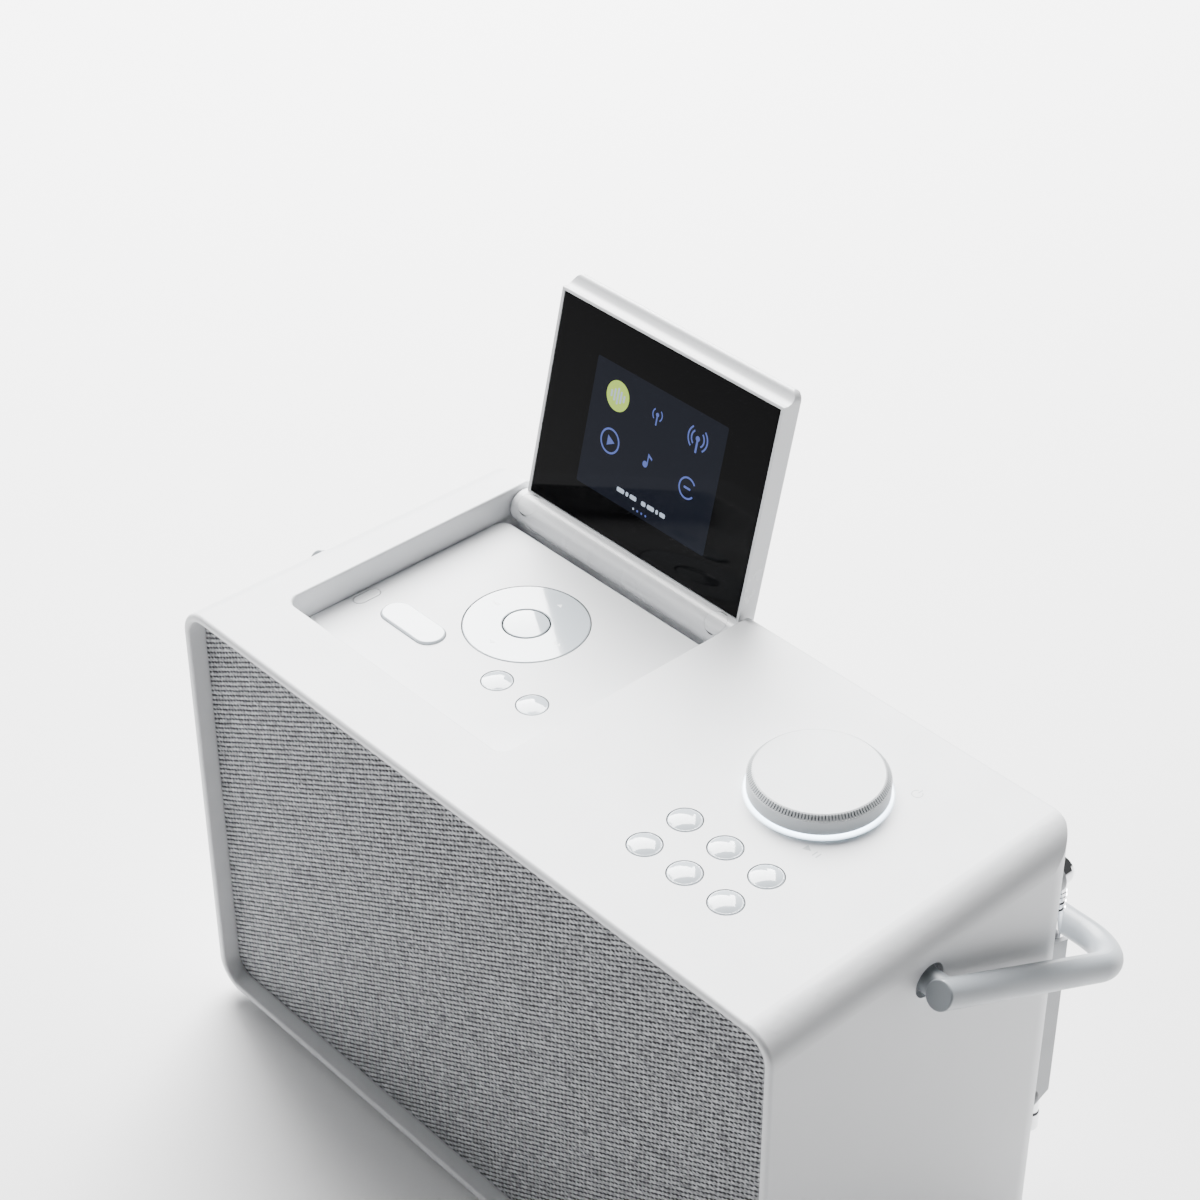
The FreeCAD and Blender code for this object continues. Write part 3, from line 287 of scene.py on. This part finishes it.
def cloth_material(name):
    """Melange weave: pale flecked yarns that climb to the right, with painted shade as dark dashes in the furrows
    between them.
    """
    t = Tree(name)
    x, y, z = t.xyz()
    tau = 2 * math.pi
    wob = t.math("MULTIPLY", t.math("SUBTRACT", t.noise(140.0, 2.0, 0.5), 0.5), 1.5)
    ax = t.math("MULTIPLY", x, tau / PX)
    az = t.math("MULTIPLY", z, tau / PZ)
    c1 = t.math("COSINE", t.math("ADD", t.math("SUBTRACT", ax, az), wob))
    c2 = t.math("COSINE", t.math("ADD", ax, az))
    c3 = t.math("COSINE", t.math("MULTIPLY", x, 2 * tau / PX))
    v = t.math("ADD", c1, t.math("ADD", t.math("MULTIPLY", c2, 0.42), t.math("MULTIPLY", c3, 0.25)))
    grain = t.noise(620.0, 2.0, 0.6, stretch=(0.6, 1, 1.2))
    v = t.math("ADD", v, t.math("MULTIPLY", t.math("SUBTRACT", grain, 0.5), 1.5))
    # painted shade: mask of the furrows between the yarns
    furrow_shade_dash = t.smooth(v, -0.10, 0.70)
    soft = t.remap(t.noise(150.0, 3.0, 0.6), 0.3, 0.7, 0.86, 1.0)
    dark = t.math("MULTIPLY", furrow_shade_dash, soft, clamp=True)
    fleck = t.smooth(t.noise(1000.0, 2.0, 0.6, stretch=(0.5, 1, 1.6)), 0.35, 0.70)
    pale = t.mix(fleck, rgb(0.20, 0.205, 0.215), rgb(0.56, 0.57, 0.59))
    pale = t.mix(t.math("MULTIPLY", t.smooth(t.noise(430.0, 3.0, 0.6, stretch=(0.4, 1, 1)), 0.58, 0.72), 0.5),
                 pale, rgb(0.05, 0.053, 0.058))
    # painted shade: near-black colour laid into the furrows between the yarns
    furrow_shade_col = t.mix(t.noise(1500.0, 2.0), rgb(0.004, 0.004, 0.005), rgb(0.016, 0.016, 0.019))
    t.set(base=t.mix(dark, pale, furrow_shade_col), rough=0.88, spec=0.12, sheen=0.15, sheen_rough=0.5)
    fibre = t.noise(4200.0, 2.0, 0.7, stretch=(0.5, 1, 1.5))
    h = t.math("ADD", t.math("MULTIPLY", t.math("SUBTRACT", 1.0, dark), 0.8), t.math("MULTIPLY", fibre, 0.35))
    t.bump(h, 0.7, 0.00022)
    return t.m


mats["grille_cloth"] = cloth_material("grille_cloth")

slot_of = {s["node"]: s["material_slot"] for s in frame["record"]["subparts"]}
for name, obj in frame["nodes"].items():
    obj.data.materials.clear()
    obj.data.materials.append(mats[slot_of[name]])


# ------------------------------------------------------------------ mesh helpers
def add(name, verts, faces, material, body, smooth=True, mats_per_face=None, more=()):
    me = bpy.data.meshes.new(name)
    me.from_pydata([tuple(v) for v in verts], [], faces)
    me.update()
    o = bpy.data.objects.new(name, me)
    bpy.context.scene.collection.objects.link(o)
    me.materials.append(material)
    for m in more:
        me.materials.append(m)
    if mats_per_face:
        for p, k in zip(me.polygons, mats_per_face):
            p.material_index = k
    if smooth:
        for p in me.polygons:
            p.use_smooth = True
    if body:
        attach(o, body)
    return o


class Plate:
    """Collects thin closed prints on a plane: origin o, in-plane axes a and b, outward n (unit vectors)."""

    def __init__(self, o, a, b, n):
        self.o, self.a, self.b, self.n = o, a, b, n
        self.v, self.f, self.k = [], [], []

    def p(self, s, t, h):
        return self.o + self.a * (s / 1000.0) + self.b * (t / 1000.0) + self.n * (h / 1000.0)

    def shape(self, outline, h0, h1, k=0):
        """A filled outline (list of (s, t), convex or star-shaped about its mean) as a thin closed slab."""
        n = len(outline)
        i0 = len(self.v)
        cs = sum(q[0] for q in outline) / n
        ct = sum(q[1] for q in outline) / n
        for s, t in outline:
            self.v.append(self.p(s, t, h0))
        for s, t in outline:
            self.v.append(self.p(s, t, h1))
        self.v.append(self.p(cs, ct, h0))
        self.v.append(self.p(cs, ct, h1))
        b, c = i0 + 2 * n, i0 + 2 * n + 1
        area = sum(outline[i][0] * outline[(i + 1) % n][1] - outline[(i + 1) % n][0] * outline[i][1] for i in range(n))
        flip = (area < 0) != (self.a.cross(self.b).dot(self.n) < 0)
        for i in range(n):
            j = (i + 1) % n
            tri = [(i0 + n + i, i0 + n + j, c), (i0 + j, i0 + i, b)]
            quad = (i0 + i, i0 + j, i0 + n + j, i0 + n + i)
            if flip:
                tri = [q[::-1] for q in tri]
                quad = quad[::-1]
            self.f += [tri[0], tri[1], quad]
            self.k += [k, k, k]

    def ring(self, cs, ct, r0, r1, h0, h1, k=0, a0=0.0, a1=360.0, seg=48):
        """An arc band as a closed strip."""
        full = abs(a1 - a0) >= 359.9
        n = seg
        i0 = len(self.v)
        for i in range(n if full else n + 1):
            a = math.radians(a0 + (a1 - a0) * i / n)
            for r, h in ((r0, h0), (r1, h0), (r1, h1), (r0, h1)):
                self.v.append(self.p(cs + r * math.cos(a), ct + r * math.sin(a), h))
        m = n if full else n + 1
        flip = self.a.cross(self.b).dot(self.n) < 0
        for i in range(n):
            j = (i + 1) % m
            for q in range(4):
                w = (q + 1) % 4
                f = (i0 + i * 4 + q, i0 + i * 4 + w, i0 + j * 4 + w, i0 + j * 4 + q)
                self.f.append(f[::-1] if not flip else f)
                self.k.append(k)
        if not full:
            e = i0 + (m - 1) * 4
            s = (i0, i0 + 1, i0 + 2, i0 + 3)
            t = (e + 3, e + 2, e + 1, e)
            if not flip:
                s, t = s[::-1], t[::-1]
            self.f += [s[::-1], t[::-1]] if False else [s, t]
            self.k += [k, k]

    def make(self, name, materials, body):
        o = add(name, self.v, self.f, materials[0], body, smooth=False, mats_per_face=self.k,
                more=materials[1:])
        bm = bmesh.new()
        bm.from_mesh(o.data)
        bmesh.ops.recalc_face_normals(bm, faces=bm.faces)
        bm.to_mesh(o.data)
        bm.free()
        return o


def rounded(x0, x1, y0, y1, r, seg=8):
    out = []
    for cx, cy, a in ((x1 - r, y1 - r, 0), (x0 + r, y1 - r, 90), (x0 + r, y0 + r, 180), (x1 - r, y0 + r, 270)):
        for i in range(seg + 1):
            q = math.radians(a + 90 * i / seg)
            out.append((cx + r * math.cos(q), cy + r * math.sin(q)))
    return out


def circle(cx, cy, r, seg=48):
    return [(cx + r * math.cos(2 * math.pi * i / seg), cy + r * math.sin(2 * math.pi * i / seg)) for i in range(seg)]


def line(x0, y0, x1, y1, w):
    d = math.hypot(x1 - x0, y1 - y0)
    nx, ny = -(y1 - y0) / d * w / 2, (x1 - x0) / d * w / 2
    return [(x0 + nx, y0 + ny), (x0 - nx, y0 - ny), (x1 - nx, y1 - ny), (x1 + nx, y1 + ny)]


# ------------------------------------------------------------------ grille cloth
def build_cloth():
    """The cloth as one sheet with its own woven relief, stretched over the grille frame."""
    lo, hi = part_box("grille_fabric")
    x0, x1, z0, z1 = lo.x, hi.x, lo.z, hi.z
    r = 0.0076
    cols, rows = 470, 330
    z = np.linspace(z0, z1, rows + 1)
    d = np.minimum(z - z0, z1 - z)
    inset = np.where(d < r, r - np.sqrt(np.maximum(0.0, r * r - (r - np.minimum(d, r)) ** 2)), 0.0)
    f = np.linspace(0.0, 1.0, cols + 1)
    X = (x0 + inset)[:, None] + ((x1 - x0) - 2 * inset)[:, None] * f[None, :]
    Z = np.repeat(z[:, None], cols + 1, axis=1)
    ax, az = 2 * np.pi * X / PX, 2 * np.pi * Z / PZ
    v = np.cos(ax - az) + 0.42 * np.cos(ax + az) + 0.25 * np.cos(2 * ax)
    rim = np.minimum(np.minimum(X - X[:, :1], X[:, -1:] - X), d[:, None])
    edge = np.clip(rim / 0.003 + 0.05, 0.0, 1.0)
    Y = lo.y + 0.00030 + 0.00013 * v * edge
    verts = np.stack([X, Y, Z], axis=-1).reshape(-1, 3)
    w = cols + 1
    k = (np.arange(rows)[:, None] * w + np.arange(cols)[None, :]).reshape(-1)
    faces = np.stack([k, k + 1, k + w + 1, k + w], axis=-1).tolist()
    return add("grille_cloth_sheet", verts.tolist(), faces, mats["grille_cloth"], "cabinet")


cloth = build_cloth()
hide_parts("grille_fabric")

# ------------------------------------------------------------------ screen picture
LEAN = math.radians(13.1)
axis = R(0, 129.3, ZT - 7.7)
up = Vector((0, math.sin(LEAN), math.cos(LEAN)))
back = Vector((0, math.cos(LEAN), -math.sin(LEAN)))
glass_o = axis + back * (-0.8 / 1000.0)


def screen_mat(name, col, emit, strength, rough=0.02):
    t = Tree(name)
    t.set(base=t.mix(t.noise(60.0), scaled(col, 0.94), scaled(col, 1.06)),
          rough=t.remap(t.noise(45.0, 3.0, 0.6), 0.35, 0.75, rough * 0.7, rough * 1.5), ior=1.33, spec=0.06,
          emit=t.mix(t.noise(2400.0, 1.0), scaled(emit, 0.92), scaled(emit, 1.08)), emit_s=strength)
    return t.m


m_lcd = Tree("screen_field")
m_lcd.set(base=rgb(0.004, 0.0045, 0.006), ior=1.33, spec=0.06,
          rough=m_lcd.remap(m_lcd.noise(45.0, 3.0, 0.6), 0.35, 0.75, 0.012, 0.03),
          emit=m_lcd.mix(m_lcd.noise(20.0, 2.0), rgb(0.007, 0.0085, 0.015), rgb(0.009, 0.011, 0.019)), emit_s=1.0)
m_lcd = m_lcd.m
m_blue = screen_mat("screen_blue", (0.01, 0.012, 0.03), (0.13, 0.18, 0.55), 1.0)
m_lime = screen_mat("screen_lime", (0.03, 0.05, 0.01), (0.62, 0.88, 0.15), 1.0)
m_pale = screen_mat("screen_pale", (0.03, 0.04, 0.06), (0.62, 0.72, 0.88), 1.0)

P = Plate(glass_o, Vector((1, 0, 0)), up, -back)
x0, x1, u0, u1 = -90.8, -28.4, 20.5, 67.2
P.shape(rounded(x0, x1, u0, u1, 0.8, 5), -0.05, 0.012, 0)
h0, h1 = 0.0, 0.022


def icon_mast(cx, cy, s, k, waves=2):
    P.shape(line(cx, cy - 3.2 * s, cx, cy + 0.8 * s, 0.75 * s), h0, h1, k)
    P.shape(circle(cx, cy + 1.3 * s, 0.85 * s, 20), h0, h1, k)
    for q in range(waves):
        r = (2.3 + q * 1.35) * s
        P.ring(cx, cy + 1.3 * s, r, r + 0.55 * s, h0, h1, k, -52, 52, 16)
        P.ring(cx, cy + 1.3 * s, r, r + 0.55 * s, h0, h1, k, 128, 232, 16)


# chosen source: lime disc with a plain bar pattern
P.shape(circle(-78.8, 56.9, 5.4, 48), h0, h1, 2)
for i, hgt in enumerate((1.3, 2.2, 3.0, 2.2, 1.3)):
    P.shape(rounded(-78.8 - 3.0 + i * 1.5 - 0.42, -78.8 - 3.0 + i * 1.5 + 0.42, 56.9 - hgt, 56.9 + hgt, 0.4, 3),
            h1 - 0.004, h1 + 0.008, 3)
icon_mast(-59.8, 57.1, 0.85, 1, 1)
icon_mast(-40.6, 56.5, 1.12, 1, 2)
# globe-like disc, music note, ring
P.ring(-78.7, 40.4, 3.9, 4.6, h0, h1, 1)
P.shape([(-79.9, 42.3), (-79.9, 38.5), (-76.4, 40.4)], h0, h1, 1)
P.shape(circle(-61.2, 39.6, 1.15, 20), h0, h1, 1)
P.shape(line(-60.25, 39.6, -60.25, 43.7, 0.5), h0, h1, 1)
P.shape([(-60.5, 43.8), (-58.4, 42.7), (-58.4, 41.9), (-60.5, 42.9)], h0, h1, 1)
P.ring(-41.0, 39.9, 3.3, 3.95, h0, h1, 1, 35, 325, 40)
P.shape(rounded(-42.6, -39.4, 39.5, 40.3, 0.35, 3), h0, h1, 1)
# name of the source as plain bars
bar_x = -71.6
for wid in (3.6, 1.3, 3.2, 0.9, 2.1, 3.4, 1.2, 2.6):
    if wid > 1.0:
        P.shape(rounded(bar_x, bar_x + wid, 25.1, 26.7, 0.5, 3), h0, h1, 3)
    bar_x += wid + 0.75
# page dots
for i in range(4):
    P.shape(circle(-62.6 + i * 2.0, 22.3, 0.42, 12), h0, h1, 3 if i == 0 else 1)
screen = P.make("screen_image", [m_lcd, m_blue, m_lime, m_pale], "display")

# ------------------------------------------------------------------ printed marks on the cabinet and rocker
m_mark = Tree("mark_grey")
m_mark.set(base=m_mark.mix(m_mark.noise(600.0), rgb(0.36, 0.38, 0.40), rgb(0.42, 0.44, 0.46)), rough=0.5)
m_mark = m_mark.m
top = Plate(R(0, 0, ZT), Vector((1, 0, 0)), Vector((0, 1, 0)), Vector((0, 0, 1)))
px, py = 91.9, 107.2
top.ring(px, py, 1.55, 1.85, -0.02, 0.02, 0, 120, 420, 30)
top.shape(line(px, py + 0.5, px, py + 2.4, 0.32), -0.02, 0.02, 0)
bx, by = 86.2, 63.6
top.shape([(bx, by), (bx + 2.5, by + 1.3), (bx, by + 2.6)], -0.02, 0.02, 0)
top.shape(line(bx + 4.0, by + 0.1, bx + 4.0, by + 2.5, 0.45), -0.02, 0.02, 0)
top.shape(line(bx + 5.4, by + 0.1, bx + 5.4, by + 2.5, 0.45), -0.02, 0.02, 0)
top.make("top_marks", [m_mark], "cabinet")

nx, ny = -63.4, 86.2
nav = Plate(R(0, 0, ZF + 0.1), Vector((1, 0, 0)), Vector((0, 1, 0)), Vector((0, 0, 1)))
for q in range(4):
    a = math.radians(90 * q)
    c, s = math.cos(a), math.sin(a)

    def turn(px, py):
        return (nx + px * c - py * s, ny + px * s + py * c)
    if q in (0, 2):
        for off in (14.2, 15.7):
            nav.shape([turn(off, -0.95), turn(off + 1.3, 0.0), turn(off, 0.95)], -0.02, 0.018, 0)
    else:
        nav.shape([turn(14.4, -1.1), turn(15.9, 0.0), turn(14.4, 1.1)], -0.02, 0.018, 0)
m_nav = Tree("rocker_mark")
m_nav.set(base=m_nav.mix(m_nav.noise(600.0), rgb(0.76, 0.78, 0.80), rgb(0.84, 0.855, 0.87)), rough=0.35)
nav.make("rocker_marks", [m_nav.m], "nav_rocker")

# ------------------------------------------------------------------ stage, light and camera
t = Tree("floor_pale")
t.set(base=t.mix(t.noise(3.0), rgb(0.79, 0.79, 0.795), rgb(0.81, 0.81, 0.815)), rough=0.6, spec=0.2)
floor_me = bpy.data.meshes.new("floor")
floor_me.from_pydata([(-8, -8, 0), (8, -8, 0), (8, 8, 0), (-8, 8, 0)], [], [(0, 1, 2, 3)])
floor = bpy.data.objects.new("floor", floor_me)
bpy.context.scene.collection.objects.link(floor)
floor_me.materials.append(t.m)

world = bpy.data.worlds.new("studio")
bpy.context.scene.world = world
world.use_nodes = True
bg = world.node_tree.nodes["Background"]
bg.inputs[0].default_value = (0.97, 0.985, 1.0, 1)
bg.inputs[1].default_value = 0.10


def area(name, loc, target, sx, sy, power, col=(1, 1, 1)):
    d = bpy.data.lights.new(name, "AREA")
    d.shape = "RECTANGLE"
    d.size, d.size_y = sx, sy
    d.energy = power
    d.color = col
    o = bpy.data.objects.new(name, d)
    bpy.context.scene.collection.objects.link(o)
    o.location = loc
    o.rotation_euler = (Vector(target) - Vector(loc)).to_track_quat("-Z", "Y").to_euler()
    return o


area("key_top", (-1.00, 0.80, 1.35), (-0.05, 0.15, 0.0), 1.5, 1.5, 260.0, (1.0, 0.998, 0.992))
area("front_left", (-1.3, -1.1, 0.9), (0, 0, 0.1), 0.8, 0.8, 10.0, (0.98, 0.99, 1.0))

cam_d = bpy.data.cameras.new("camera")
cam_d.lens = 84.2814
cam_d.sensor_width = 36.0
cam_d.clip_end = 50
cam = bpy.data.objects.new("camera", cam_d)
bpy.context.scene.collection.objects.link(cam)
M = Matrix(((0.6718332, -0.4337317, 0.6004307, 0.50973),
            (0.7407006, 0.3952564, -0.5432633, -0.47887),
            (-0.0016935, 0.8097216, 0.5868117, 0.71408),
            (0, 0, 0, 1)))
cam.matrix_world = M
bpy.context.scene.camera = cam

write_size()
